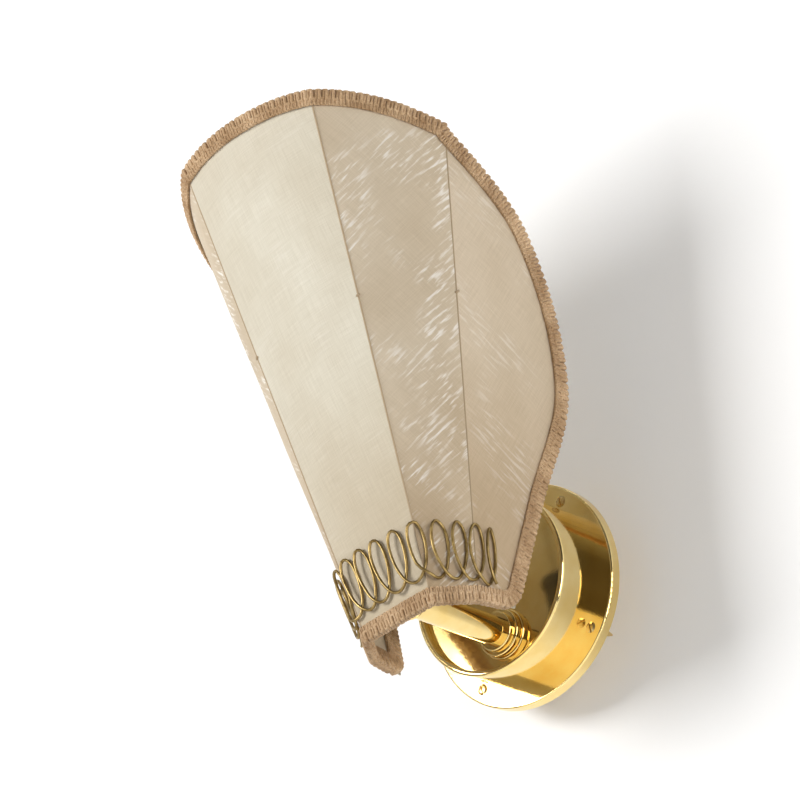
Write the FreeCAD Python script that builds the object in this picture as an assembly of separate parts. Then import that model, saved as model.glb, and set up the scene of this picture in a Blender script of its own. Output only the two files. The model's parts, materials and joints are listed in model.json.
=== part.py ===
"""Wall light with a petal-shaped fabric shade on a short turned arm, in millimetres.

+Z is up and the light stands out from the wall along -Y. The origin is the centre of the
round wall plate, on the wall's surface. A turned piece is given by the outline of its
section: its radius, and its distance along the axis that it is turned about.
"""
import FreeCAD, Part
import math
import os

V = FreeCAD.Vector

# Clearances
RUN = 0.30             # between soft trim or loose wire and what it lies on
SLIP = 0.05            # radial, between a shaft and the hole that it turns in
SEAT = 0.02            # where two still pieces only touch

# Wall plate and its screws
FLANGE_WIDTH = 12.0    # of the wall plate that shows round the drum
PLATE_DEPTH = 6.8      # from the wall to the plate's front face
PLATE_SHEET = 1.4      # thickness of that face
PLATE_RIM = 2.5        # width of the rim that bears on the wall
PLATE_HOLE_R = 43.0    # opening for the supply wires
SCREW_GAP = 0.7        # between a fixing screw's head and the drum
SCREW_COUNT = 4
SCREW_R = 1.8          # shank of a fixing screw
SCREW_HEAD_R = 3.3
SCREW_HEAD_RISE = 0.9  # height of the head's crown over the plate
SCREW_TIP = 13.0       # length that stands out behind the wall's plane
SLOT_WIDTH = 0.9

# Drum and dish
DRUM_R = 54.0          # outer radius of the drum
DRUM_WALL = 1.2
DRUM_FRONT = 36.3      # from the wall to the front of the drum's bead
BEAD_WIDTH = 3.6       # rolled bead at the drum's front
BEAD_DEPTH = 5.0
FOOT_WIDTH = 7.0       # inward foot that stands on the wall plate
FOOT_SCREWS = 3
FOOT_SCREW_R = 1.5
DISH_SHEET = 1.2

# Arm, its collar and its end
ARM_Z = -32.0          # height of the arm's axis
ARM_R = 8.5
ARM_WALL = 1.2
ARM_REACH = 112.0      # from the wall to the end of the tube
ARM_TAIL = 2.0         # of the tube behind its nut
COLLAR_R = 15.0        # foot of the turned collar
COLLAR_LENGTH = 10.0
CAP_R = 11.0           # turned cap on the arm's end
CAP_LENGTH = 3.4
NUT_R = 12.5           # across the corners of the nut behind the dish
NUT_LENGTH = 4.0
WASHER_R = 12.8
WASHER_SHEET = 1.0

# Terminal block in the drum
BLOCK_SIZE = (34.0, 10.0, 12.0)
BLOCK_POLES = 3
BLOCK_GAP = 2.0        # height of its two feet over the dish
BLOCK_Z = 22.0

# Lampholder, upright on the arm
HOLDER_BACK = 12.0     # from the arm's end back to the lampholder's axis
NIPPLE_R = 5.0         # threaded nipple between the arm and the cup
NIPPLE_BORE_R = 3.6
HOLDER_FOOT = 3.0      # turned foot between the arm and the shade's strap
CUP_R = 12.0           # brass cup at the bottom of the holder
CUP_HEIGHT = 12.0
CUP_WALL = 1.0
BODY_R = 11.6          # insulating body over the cup
BODY_HEIGHT = 26.0
BODY_WALL = 2.6
SOCKET_R = 7.0         # inside of the screw shell for the bulb's cap
SOCKET_WALL = 0.6
SOCKET_LENGTH = 19.0
CONTACT_R = 2.6
CONTACT_SHEET = 0.4    # of the centre contact, and the rise of its boss

# Shade. A rib's place is its half width, and how far in front of the lampholder's axis it is
SHADE_LOW = -49.0      # height of the fabric's lower edge
SHADE_TOP = 264.0      # height of its crown
CROWN_HALF = 102.0     # half width of the crown's curve
CROWN_RISE = 90.0      # height of that curve over its ends
CROWN_FULL = 0.78      # how square its shoulders are, from 0.55 for an ellipse to 1
RIB_HIGH = 235.0       # level at which the upper section is given
FRONT_LOW = (24.6, 29.0)       # front rib at the lower edge
FRONT_HIGH = (46.6, 67.0)      # and at RIB_HIGH
SIDE_LOW = (39.4, 6.0)         # side rib at the lower edge
SIDE_HIGH = (88.4, 4.0)        # and at RIB_HIGH
REAR_LOW = (51.0, -70.0)       # line past the side edge, to which the last panel runs on
REAR_HIGH = (100.0, -100.0)
BULGE_LOW = (0.3, 0.3, 0.2)    # crown of each panel: front, next and side, at the lower edge
BULGE_HIGH = (7.5, 6.0, 2.0)   # and at RIB_HIGH
EDGE_LOW = -21.0       # side edge in front of the lampholder's axis, at the lower edge
EDGE_RISE = (-45.0, 65.0)      # on its way up: in front of the axis, height over the lower edge
EDGE_BELLY = (-73.0, 92.0)     # its nearest place to the wall: in front of the axis, height
EDGE_TURN = (-48.5, 180.0)     # on its way to the crown
EDGE_HIGH = (10.0, 240.0)      # where it runs into the crown
FABRIC = 1.0           # thickness of the cloth and its lining
WIRE_R = 1.2           # rib wires
EDGE_WIRE = 2.4        # width of the flattened wire along the cloth's edge
TRIM_WIDTH = 8.5       # braid along the edges
TRIM_SHEET = 1.6
TRIM_LAP = 1.0         # that the braid stands past the cloth's edge

# Blanks that the shade is cut from
SKIN_SPARE = 20.0      # that the uncut skin stands past the shade, up and down
CUTTER_HALF = 140.0
CUTTER_DEEP = 230.0

# Fitter strap, which carries the shade on the lampholder
STRAP_WIDTH = 13.0
STRAP_SHEET = 1.4
STRAP_RING_R = 16.0
STRAP_TAB = 8.0        # width of the strap's end where it meets a rib
RING_NUT_R = 14.6
RING_NUT_HEIGHT = 4.0

# Band of wire loops
LOOP_WIRE_R = 0.9
LOOP_COUNT = 14
LOOP_HALF_HEIGHT = 16.5
LOOP_HALF_WIDTH = 6.2
LOOP_MID_FRONT = -19.0  # height of the loops' middle in front
LOOP_MID_SIDE = -22.8   # and at the side edges
LOOP_BEND = 9.0        # radius of the band's turns at the ribs
LOOP_CLEAR = 0.6       # between the loops' straight run and the cloth
LOOP_SWAY = 1.2        # how far a loop's two legs lie out and in of its middle
LOOP_END = -17.0       # the band's two ends, in front of the lampholder's axis

WALL_AXIS = V(0, -1, 0)
UP = V(0, 0, 1)
PLATE_R = DRUM_R + FLANGE_WIDTH
SCREW_PCD = 2 * (DRUM_R + SCREW_GAP + SCREW_HEAD_R)
HOLDER_Y = HOLDER_BACK - ARM_REACH


def save(name, *solids):
    shape = solids[0] if len(solids) == 1 else Part.makeCompound(list(solids))
    shape.exportStep("parts/%s.step" % name)
    return shape


def rounded(corners, radii):
    """Closed wire through corners, with an arc at each corner that has a radius."""
    count = len(corners)
    ends = []
    edges = []
    for i, corner in enumerate(corners):
        radius = radii[i]
        if radius <= 0:
            ends.append((corner, corner))
            continue
        to_last = (corners[i - 1] - corner).normalize()
        to_next = (corners[(i + 1) % count] - corner).normalize()
        half = to_last.getAngle(to_next) / 2
        setback = radius / math.tan(half)
        start = corner + to_last * setback
        end = corner + to_next * setback
        bisector = (to_last + to_next).normalize()
        middle = corner + bisector * (radius / math.sin(half) - radius)
        ends.append((start, end))
        edges.append(Part.Arc(start, middle, end).toShape())
    for i in range(count):
        start = ends[i][1]
        end = ends[(i + 1) % count][0]
        if (end - start).Length > 1e-6:
            edges.append(Part.LineSegment(start, end).toShape())
    return Part.Wire(Part.__sortEdges__(edges))


def turned(outline, origin=V(0, 0, 0), axis=WALL_AXIS):
    """Solid turned about an axis. The outline's points are (radius, distance along the axis),
    with a third value where the corner is rounded."""
    across = V(1, 0, 0)
    corners = [origin + across * p[0] + axis * p[1] for p in outline]
    radii = [p[2] if len(p) > 2 else 0 for p in outline]
    face = Part.Face(rounded(corners, radii))
    return face.revolve(origin, axis, 360)


def rod(radius, length, start, axis):
    return Part.makeCylinder(radius, length, start, axis)


def around(solid, count, centre, axis, first=0.0):
    copies = []
    for i in range(count):
        copy = solid.copy()
        copy.rotate(centre, axis, first + i * 360.0 / count)
        copies.append(copy)
    return copies


def prism(corners, direction):
    return Part.Face(Part.makePolygon(corners + corners[:1])).extrude(direction)


def hexagon(radius, origin, axis, across, length):
    other = axis.cross(across)
    turns = [math.radians(60 * i) for i in range(6)]
    corners = [origin + across * (radius * math.cos(a)) + other * (radius * math.sin(a)) for a in turns]
    return prism(corners, axis * length)


# ---------------------------------------------------------------- wall plate, drum, dish

def fixing_hole_places():
    """Screw centres on the plate, on its two diagonals."""
    reach = SCREW_PCD / 2
    turns = [math.radians(45 + i * 360.0 / SCREW_COUNT) for i in range(SCREW_COUNT)]
    return [V(reach * math.cos(a), 0, reach * math.sin(a)) for a in turns]


def foot_hole_places():
    reach = DRUM_R - DRUM_WALL - FOOT_WIDTH / 2
    turns = [math.radians(90 + i * 360.0 / FOOT_SCREWS) for i in range(FOOT_SCREWS)]
    return [V(reach * math.cos(a), 0, reach * math.sin(a)) for a in turns]


def countersink(place, radius, head_radius, front):
    """Hole with a cone for a sunk head, through the sheet whose face is at front."""
    hole = rod(radius, PLATE_DEPTH + 1, place, WALL_AXIS)
    cone_start = place + WALL_AXIS * (front - (head_radius - radius))
    cone = Part.makeCone(radius, head_radius, head_radius - radius, cone_start, WALL_AXIS)
    return hole.fuse(cone)


def wall_plate():
    back = PLATE_DEPTH - PLATE_SHEET
    plate = turned([
        (PLATE_HOLE_R, back),
        (PLATE_R - PLATE_RIM, back, 1.0),
        (PLATE_R - PLATE_RIM, 0),
        (PLATE_R, 0),
        (PLATE_R, PLATE_DEPTH, 1.2),
        (PLATE_HOLE_R, PLATE_DEPTH),
    ])
    for place in fixing_hole_places():
        plate = plate.cut(countersink(place, SCREW_R + SLIP, SCREW_HEAD_R + SLIP, PLATE_DEPTH))
    for place in foot_hole_places():
        plate = plate.cut(rod(FOOT_SCREW_R + SLIP, PLATE_DEPTH + 1, place, WALL_AXIS))
    return plate


def slotted(head, centre, radius, top):
    """Cuts a screwdriver slot across a head."""
    slot = Part.makeBox(SLOT_WIDTH, SLOT_WIDTH, 2 * radius)
    slot.translate(V(centre.x - SLOT_WIDTH / 2, -top, centre.z - radius))
    return head.cut(slot)


def fixing_screws():
    """Slotted wood screws with raised sunk heads, through the plate."""
    screws = []
    sunk = SCREW_HEAD_R - SCREW_R
    for place in fixing_hole_places():
        screw = turned([
            (0, -SCREW_TIP),
            (SCREW_R * 0.3, -SCREW_TIP + 0.4),
            (SCREW_R, -SCREW_TIP + 5.0),
            (SCREW_R, PLATE_DEPTH - sunk),
            (SCREW_HEAD_R, PLATE_DEPTH),
            (SCREW_HEAD_R * 0.62, PLATE_DEPTH + SCREW_HEAD_RISE * 0.75),
            (0, PLATE_DEPTH + SCREW_HEAD_RISE),
        ], place)
        top = PLATE_DEPTH + SCREW_HEAD_RISE
        screws.append(slotted(screw, place, SCREW_HEAD_R, top))
    return screws


def drum():
    """Round cover with an inward foot behind and a rolled bead in front."""
    inner = DRUM_R - DRUM_WALL
    bead = DRUM_R - BEAD_WIDTH
    foot = DRUM_R - DRUM_WALL - FOOT_WIDTH
    shell = turned([
        (foot, PLATE_DEPTH),
        (DRUM_R, PLATE_DEPTH),
        (DRUM_R, DRUM_FRONT, BEAD_WIDTH * 0.48),
        (bead, DRUM_FRONT, BEAD_WIDTH * 0.48),
        (bead, DRUM_FRONT - BEAD_DEPTH, 0.8),
        (inner, DRUM_FRONT - BEAD_DEPTH),
        (inner, PLATE_DEPTH + DRUM_WALL, 1.0),
        (foot, PLATE_DEPTH + DRUM_WALL),
    ])
    for place in foot_hole_places():
        shell = shell.cut(rod(FOOT_SCREW_R + SLIP, PLATE_DEPTH + DRUM_WALL + 1, place, WALL_AXIS))
    return shell


def drum_screws():
    """Small screws from behind, which hold the drum's foot to the plate."""
    back = PLATE_DEPTH - PLATE_SHEET
    screws = []
    for place in foot_hole_places():
        head = turned([(0, back - 1.8), (2.0, back - 1.8, 0.6), (2.6, back - 0.6), (2.6, back), (0, back)], place)
        shank = rod(FOOT_SCREW_R, PLATE_SHEET + DRUM_WALL + 1.5, place + WALL_AXIS * back, WALL_AXIS)
        nut_base = place + WALL_AXIS * (PLATE_DEPTH + DRUM_WALL)
        nut = hexagon(3.0, nut_base, WALL_AXIS, V(1, 0, 0), 2.0)
        screws.append(head.fuse(shank).fuse(nut).removeSplitter())
    return screws


def dish_front():
    """Distance from the wall to the dish's front face, seated behind the bead."""
    return DRUM_FRONT - BEAD_DEPTH


def dish_plate():
    edge = DRUM_R - DRUM_WALL - SEAT
    front = dish_front()
    back = front - DISH_SHEET
    turn_in = 5.0
    plate = turned([
        (0, back),
        (edge - DISH_SHEET, back, 0.8),
        (edge - DISH_SHEET, back - turn_in),
        (edge, back - turn_in),
        (edge, front, 0.9),
        (0, front),
    ])
    hole = rod(ARM_R + SEAT, 3 * DISH_SHEET, V(0, -back + DISH_SHEET, ARM_Z), WALL_AXIS)
    return plate.cut(hole)


# ---------------------------------------------------------------- arm

def arm_origin():
    return V(0, 0, ARM_Z)


def arm_collar():
    """Turned collar of three rings that step down from the dish to the arm."""
    foot = dish_front()
    bore = ARM_R + SEAT
    step = (COLLAR_R - bore) / 3
    third = COLLAR_LENGTH / 3
    return turned([
        (bore, foot),
        (COLLAR_R, foot),
        (COLLAR_R, foot + third * 0.8, 1.0),
        (COLLAR_R - step * 0.9, foot + third * 0.8),
        (COLLAR_R - step * 0.9, foot + third * 1.0),
        (COLLAR_R - step * 0.5, foot + third * 1.3, 0.6),
        (COLLAR_R - step * 0.5, foot + third * 2.0, 0.9),
        (COLLAR_R - step * 1.7, foot + third * 2.1),
        (COLLAR_R - step * 1.5, foot + third * 2.35, 0.3),
        (COLLAR_R - step * 1.7, foot + third * 3.0, 0.8),
        (bore, foot + third * 3.0),
    ], arm_origin())


def arm_back():
    return dish_front() - DISH_SHEET - WASHER_SHEET - NUT_LENGTH - ARM_TAIL


def arm_tube():
    start = arm_origin() + WALL_AXIS * arm_back()
    length = ARM_REACH - arm_back()
    tube = rod(ARM_R, length, start, WALL_AXIS)
    tube = tube.cut(rod(ARM_R - ARM_WALL, length, start, WALL_AXIS))
    return tube.cut(rod(NIPPLE_R, ARM_R + 1, V(0, HOLDER_Y, ARM_Z), UP))


def arm_washer():
    back = dish_front() - DISH_SHEET - WASHER_SHEET
    return turned([
        (ARM_R + SEAT, back),
        (WASHER_R, back, 0.3),
        (WASHER_R, back + WASHER_SHEET),
        (ARM_R + SEAT, back + WASHER_SHEET),
    ], arm_origin())


def arm_nut():
    back = dish_front() - DISH_SHEET - WASHER_SHEET - NUT_LENGTH
    start = arm_origin() + WALL_AXIS * back
    nut = hexagon(NUT_R, start, WALL_AXIS, V(1, 0, 0), NUT_LENGTH)
    return nut.cut(rod(ARM_R + SEAT, NUT_LENGTH, start, WALL_AXIS))


def arm_end_cap():
    """Turned cap, wider than the tube, with a spigot in it and a bevelled front."""
    front = ARM_REACH + CAP_LENGTH
    spigot = ARM_R - ARM_WALL - SEAT
    return turned([
        (0, ARM_REACH - 4.0),
        (spigot, ARM_REACH - 4.0),
        (spigot, ARM_REACH),
        (CAP_R - 0.6, ARM_REACH, 0.4),
        (CAP_R, ARM_REACH + 1.4, 0.5),
        (CAP_R - 1.6, front, 0.4),
        (0, front),
    ], arm_origin())


# ---------------------------------------------------------------- wiring in the drum

def block_floor():
    return dish_front() - DISH_SHEET - BLOCK_GAP


def terminal_block():
    """Three-pole block on two feet behind the dish."""
    width, height, depth = BLOCK_SIZE
    front = block_floor()
    body = Part.makeBox(width, depth, height, V(-width / 2, -front, BLOCK_Z - height / 2))
    pitch = width / BLOCK_POLES
    for i in range(BLOCK_POLES):
        x = -width / 2 + pitch * (i + 0.5)
        body = body.cut(rod(2.0, height, V(x, -front + depth * 0.62, BLOCK_Z - height / 2), UP))
        body = body.cut(rod(2.3, depth * 0.38, V(x, -front + depth, BLOCK_Z), WALL_AXIS))
    for side in (-1, 1):
        foot = rod(2.5, BLOCK_GAP, V(side * pitch / 2, -front, BLOCK_Z), WALL_AXIS)
        body = body.fuse(foot)
    return body.removeSplitter()


def terminal_screws():
    """Slotted clamp screws, sunk in the block's wells."""
    width, height, depth = BLOCK_SIZE
    pitch = width / BLOCK_POLES
    back = -block_floor() + depth
    screws = []
    for i in range(BLOCK_POLES):
        place = V(-width / 2 + pitch * (i + 0.5), back - 0.8, BLOCK_Z)
        screw = rod(2.3 - SLIP, depth * 0.38 - 0.8, place, WALL_AXIS)
        slot = Part.makeBox(4.6, 0.8, 0.6, place + V(-2.3, -0.8, -0.3))
        screws.append(screw.cut(slot))
    return screws


# ---------------------------------------------------------------- lampholder

def holder_origin():
    """Top of the arm under the lampholder."""
    return V(0, HOLDER_Y, ARM_Z + ARM_R)


def strap_bottom():
    return HOLDER_FOOT + SLIP


def ring_bottom():
    """The strap turns between the foot and the ring nut, with a running gap on each side."""
    return strap_bottom() + STRAP_SHEET + SLIP


def cup_bottom():
    return ring_bottom() + RING_NUT_HEIGHT


def holder_foot():
    """Turned foot with a saddle that sits on the arm."""
    foot = turned([
        (NIPPLE_R + SEAT, -3.0),
        (ARM_R - 1.6, -3.0),
        (ARM_R - 1.6, HOLDER_FOOT - 1.6, 0.8),
        (RING_NUT_R - 3.0, HOLDER_FOOT - 1.2, 0.4),
        (RING_NUT_R - 3.0, HOLDER_FOOT),
        (NIPPLE_R + SEAT, HOLDER_FOOT),
    ], holder_origin(), UP)
    return foot.cut(rod(ARM_R + SEAT, 4 * ARM_R, V(0, HOLDER_Y + 2 * ARM_R, ARM_Z), WALL_AXIS))


def holder_nipple():
    """Hollow threaded nipple from inside the arm up into the cup."""
    low = -ARM_WALL - 2.5
    high = cup_bottom() + CUP_WALL + 3.0
    tube = rod(NIPPLE_R, high - low, holder_origin() + UP * low, UP)
    return tube.cut(rod(NIPPLE_BORE_R, high - low, holder_origin() + UP * low, UP))


def nipple_nut():
    base = holder_origin() + UP * (cup_bottom() + CUP_WALL)
    nut = hexagon(NIPPLE_R + 3.0, base, UP, V(1, 0, 0), 2.5)
    return nut.cut(rod(NIPPLE_R + SEAT, 3.0, base, UP))


def ring_nut():
    """Knurled ring that clamps the shade's strap down on the foot."""
    bottom = ring_bottom()
    ring = turned([
        (NIPPLE_R + SEAT, bottom),
        (RING_NUT_R, bottom, 0.4),
        (RING_NUT_R, bottom + RING_NUT_HEIGHT, 0.4),
        (NIPPLE_R + SEAT, bottom + RING_NUT_HEIGHT),
    ], holder_origin(), UP)
    groove = rod(0.5, RING_NUT_HEIGHT + 1, holder_origin() + V(RING_NUT_R + 0.15, 0, bottom - 0.5), UP)
    for cut in around(groove, 24, holder_origin(), UP):
        ring = ring.cut(cut)
    return ring


def lampholder_cup():
    low = cup_bottom()
    return turned([
        (NIPPLE_R + SEAT, low),
        (CUP_R - 1.0, low, 2.2),
        (CUP_R, low + CUP_HEIGHT * 0.6, 3.0),
        (CUP_R, low + CUP_HEIGHT),
        (CUP_R - CUP_WALL, low + CUP_HEIGHT),
        (CUP_R - CUP_WALL, low + CUP_HEIGHT * 0.6 + 0.4, 2.0),
        (CUP_R - 1.0 - CUP_WALL, low + CUP_WALL, 1.2),
        (NIPPLE_R + SEAT, low + CUP_WALL),
    ], holder_origin(), UP)


def body_bottom():
    return cup_bottom() + CUP_HEIGHT


def lampholder_body():
    """Insulating sleeve with a step that rests in the cup, and a collar at its top."""
    low = body_bottom()
    high = low + BODY_HEIGHT
    neck = CUP_R - CUP_WALL - SEAT
    bore = SOCKET_R + SOCKET_WALL + SEAT
    return turned([
        (0, low - 1.5),
        (neck, low - 1.5),
        (neck, low),
        (CUP_R, low, 0.3),
        (BODY_R, low + 2.0, 0.3),
        (BODY_R, high - 4.0, 0.3),
        (BODY_R + 1.2, high - 3.2, 0.3),
        (BODY_R + 1.2, high, 0.8),
        (bore, high, 0.6),
        (bore, high - SOCKET_LENGTH - 2.0),
        (0, high - SOCKET_LENGTH - 2.0),
    ], holder_origin(), UP)


def socket_shell():
    """Screw shell for the bulb's cap, with rolled thread ridges on its outside."""
    top = body_bottom() + BODY_HEIGHT - 1.0
    base = top - SOCKET_LENGTH
    shell = [(SOCKET_R, base), (SOCKET_R + SOCKET_WALL, base)]
    shell += [(SOCKET_R + SOCKET_WALL, top), (SOCKET_R, top)]
    return turned(shell, holder_origin(), UP)


def centre_contact():
    floor = body_bottom() + BODY_HEIGHT - SOCKET_LENGTH - 2.0
    return turned([
        (0, floor),
        (CONTACT_R + 1.6, floor),
        (CONTACT_R + 1.6, floor + CONTACT_SHEET),
        (CONTACT_R, floor + CONTACT_SHEET),
        (CONTACT_R * 0.7, floor + 2 * CONTACT_SHEET),
        (0, floor + 2 * CONTACT_SHEET),
    ], holder_origin(), UP)


# ---------------------------------------------------------------- shade surface

def share_of(height):
    """0 at the lower edge and 1 at RIB_HIGH."""
    return (height - SHADE_LOW) / (RIB_HIGH - SHADE_LOW)


def section(height):
    """Half section of the shade's skin at a height: front rib, side rib, and past the side edge.
    Each is a half width and a distance from the wall."""
    share = share_of(height)
    points = []
    for low, high in ((FRONT_LOW, FRONT_HIGH), (SIDE_LOW, SIDE_HIGH), (REAR_LOW, REAR_HIGH)):
        half = low[0] + (high[0] - low[0]) * share
        ahead = low[1] + (high[1] - low[1]) * share
        points.append((half, ahead - HOLDER_Y))
    return points


def bulges(height):
    share = share_of(height)
    return [low + (high - low) * share for low, high in zip(BULGE_LOW, BULGE_HIGH)]


def offset_section(height, inset):
    """The half section moved in by inset, each side kept parallel to itself."""
    front, side, rear = section(height)
    first = math.atan2(front[1] - side[1], side[0] - front[0])
    second = math.atan2(side[1] - rear[1], rear[0] - side[0])
    front_in = (front[0] - inset * math.tan(first / 2), front[1] - inset)
    turn = (second - first) / 2
    along = (first + second) / 2
    reach = inset / math.cos(turn)
    side_in = (side[0] - reach * math.sin(along), side[1] - reach * math.cos(along))
    rear_in = (rear[0] - inset * math.sin(second), rear[1] - inset * math.cos(second))
    return [front_in, side_in, rear_in]


def crowned(start, end, bulge):
    """Arc between two points of a section, crowned away from the lampholder."""
    middle = (start + end) * 0.5
    across = (end - start).cross(UP).normalize()
    inside = V(0, HOLDER_Y, middle.z) - middle
    if across.dot(inside) > 0:
        across = across * -1
    return Part.Arc(start, middle + across * bulge, end).toShape()


def skin_wire(height, inset, outset):
    """Closed section of a skin from outset outside the shade's face to inset inside it."""
    front, between, side = bulges(height)
    panel_bulges = [side, between, front, between, side]
    edges = []
    rows = []
    for offset in (-outset, inset):
        half = [V(x, -y, height) for x, y in offset_section(height, offset)]
        rows.append(mirrored(half)[::-1] + half)
    outer, inner = rows
    for a, b, bulge in zip(outer, outer[1:], panel_bulges):
        edges.append(crowned(a, b, bulge))
    edges.append(Part.LineSegment(outer[-1], inner[-1]).toShape())
    for a, b, bulge in zip(inner[::-1], inner[::-1][1:], panel_bulges):
        edges.append(crowned(a, b, bulge))
    edges.append(Part.LineSegment(inner[0], outer[0]).toShape())
    return Part.Wire(edges)


def mirrored(points):
    return [V(-p.x, p.y, p.z) for p in points]


def skin(inset, outset):
    """Ruled skin of the shade, past its edges on every side."""
    low = SHADE_LOW - SKIN_SPARE
    high = SHADE_TOP + SKIN_SPARE
    return Part.makeLoft([skin_wire(low, inset, outset), skin_wire(high, inset, outset)], True, True)


def slab(low, high):
    """Everything between two heights."""
    return Part.makeBox(2 * CUTTER_HALF, CUTTER_DEEP, high - low, V(-CUTTER_HALF, 20 - CUTTER_DEEP, low))


def edge_curve(grow):
    """Side view of the shade's outline, moved out by grow."""
    slant = 0.8 * grow
    low = V(0, HOLDER_Y - EDGE_LOW + grow, SHADE_LOW - max(grow, 0))
    rise = V(0, HOLDER_Y - EDGE_RISE[0] + slant, SHADE_LOW + EDGE_RISE[1] - slant)
    belly = V(0, HOLDER_Y - EDGE_BELLY[0] + grow, EDGE_BELLY[1])
    turn = V(0, HOLDER_Y - EDGE_TURN[0] + slant, EDGE_TURN[1] + slant)
    high = V(0, HOLDER_Y - EDGE_HIGH[0], EDGE_HIGH[1] + grow)
    curve = Part.BSplineCurve()
    curve.interpolate([low, rise, belly, turn, high])
    return curve


def outline_cutter(grow):
    """Solid that holds what the shade's outline keeps; grow moves its edge out."""
    curve = edge_curve(grow)
    start = curve.StartPoint
    end = curve.EndPoint
    roof = SHADE_TOP + 2 * SKIN_SPARE
    front = 20 - CUTTER_DEEP
    corners = [end, V(0, end.y, roof), V(0, front, roof), V(0, front, start.z), start]
    edges = [curve.toShape()]
    for a, b in zip(corners, corners[1:]):
        edges.append(Part.LineSegment(a, b).toShape())
    side = Part.Face(Part.Wire(edges))
    side.translate(V(-CUTTER_HALF, 0, 0))
    kept = side.extrude(V(2 * CUTTER_HALF, 0, 0))
    return kept.common(crown_cutter(grow))


def crown_cutter(grow):
    """Everything under the crown's curve, seen from the front."""
    half = CROWN_HALF + grow
    top = SHADE_TOP + grow
    foot = SHADE_TOP - CROWN_RISE
    shoulder = foot + (top - foot) * CROWN_FULL
    floor = SHADE_LOW - 2 * SKIN_SPARE
    edges = []
    for side in (-1, 1):
        curve = Part.BezierCurve()
        poles = [(half, foot), (half, shoulder), (half * CROWN_FULL, top), (0, top)]
        curve.setPoles([V(side * x, 20, z) for x, z in poles])
        edges.append(curve.toShape())
        edges.append(Part.LineSegment(V(side * half, 20, floor), V(side * half, 20, foot)).toShape())
    edges.append(Part.LineSegment(V(-half, 20, floor), V(half, 20, floor)).toShape())
    face = Part.Face(Part.Wire(Part.__sortEdges__(edges)))
    return face.extrude(V(0, -CUTTER_DEEP, 0))


def cloth_and_wire():
    """The cloth with the frame wire that runs along its whole edge."""
    return skin(FABRIC, 0).common(outline_cutter(0))


def cloth_outline():
    """What the cloth fills inside the edge wires."""
    above = slab(SHADE_LOW + EDGE_WIRE, SHADE_TOP + SKIN_SPARE)
    return outline_cutter(-EDGE_WIRE).common(above)


def shade_fabric():
    return skin(FABRIC, 0).common(cloth_outline())


def edge_wire():
    """Flattened wire along the side edges and the crown, between the cloth's edge and the braid."""
    above = slab(SHADE_LOW + EDGE_WIRE, SHADE_TOP + SKIN_SPARE)
    return cloth_and_wire().common(above).cut(outline_cutter(-EDGE_WIRE))


def bottom_wire():
    """Flattened wire round the lower edge, open towards the wall."""
    return cloth_and_wire().common(slab(SHADE_LOW, SHADE_LOW + EDGE_WIRE))


def braid_skin():
    return skin(FABRIC + TRIM_SHEET, TRIM_SHEET).common(outline_cutter(TRIM_LAP))


def edge_braid():
    """Braid folded over the side edges and the crown."""
    above = slab(SHADE_LOW + TRIM_WIDTH, SHADE_TOP + SKIN_SPARE)
    band = braid_skin().common(above).cut(outline_cutter(-TRIM_WIDTH))
    return clear_of_frame(band)


def bottom_braid():
    """Braid folded over the lower edge."""
    return clear_of_frame(braid_skin().common(slab(SHADE_LOW - TRIM_LAP, SHADE_LOW + TRIM_WIDTH)))


def clear_of_frame(band):
    """Leaves out of a braid what the cloth, its wires and the ribs take up."""
    band = band.cut(cloth_and_wire())
    for wire in rib_wires():
        band = band.cut(wire)
    return band


# ---------------------------------------------------------------- shade frame

def rib_line(index, height, inset):
    """Point on a rib's line at a height: index 0 is the front rib, 1 the side rib."""
    x, y = offset_section(height, inset)[index]
    return V(x, -y, height)


def crown_at(half):
    """Height of the crown's curve at a half width."""
    low, high = 0.0, 1.0
    for _ in range(40):
        t = (low + high) / 2
        x = CROWN_HALF * (3 * (1 - t) ** 2 * t * CROWN_FULL + 3 * (1 - t) * t * t + t ** 3)
        if x < half:
            low = t
        else:
            high = t
    rise = (1 - t) ** 3 + 3 * (1 - t) ** 2 * t + 3 * (1 - t) * t * t * CROWN_FULL
    return SHADE_TOP - CROWN_RISE * (1 - rise)


def rib_inset():
    """From the cloth's face to a rib's centre, with the rib just clear of the cloth."""
    return (FABRIC + WIRE_R) * 1.05 + SEAT


def rib_wires():
    """Four straight wires in the creases of the cloth."""
    wires = []
    for side in (-1, 1):
        for index, half in ((0, FRONT_HIGH[0]), (1, SIDE_HIGH[0])):
            low = rib_line(index, SHADE_LOW + EDGE_WIRE, rib_inset())
            high = rib_line(index, crown_at(half) - TRIM_WIDTH, rib_inset())
            low.x *= side
            high.x *= side
            wires.append(rod(WIRE_R, (high - low).Length, low, high - low))
    return wires


def bent(points, radius):
    """Open wire of straight runs joined by arcs of one radius."""
    edges = []
    start = points[0]
    for i in range(1, len(points) - 1):
        corner = points[i]
        to_last = (points[i - 1] - corner).normalize()
        to_next = (points[i + 1] - corner).normalize()
        half = to_last.getAngle(to_next) / 2
        setback = radius / math.tan(half)
        a = corner + to_last * setback
        b = corner + to_next * setback
        middle = corner + (to_last + to_next).normalize() * (radius / math.sin(half) - radius)
        edges.append(Part.LineSegment(start, a).toShape())
        edges.append(Part.Arc(a, middle, b).toShape())
        start = b
    edges.append(Part.LineSegment(start, points[-1]).toShape())
    return Part.Wire(edges)


def sweep_round(path, radius):
    """Round solid swept along a wire."""
    first = path.Edges[0]
    start = first.valueAt(first.FirstParameter)
    direction = first.tangentAt(first.FirstParameter)
    circle = Part.Wire(Part.makeCircle(radius, start, direction))
    return path.makePipeShell([circle], True, False)


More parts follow.
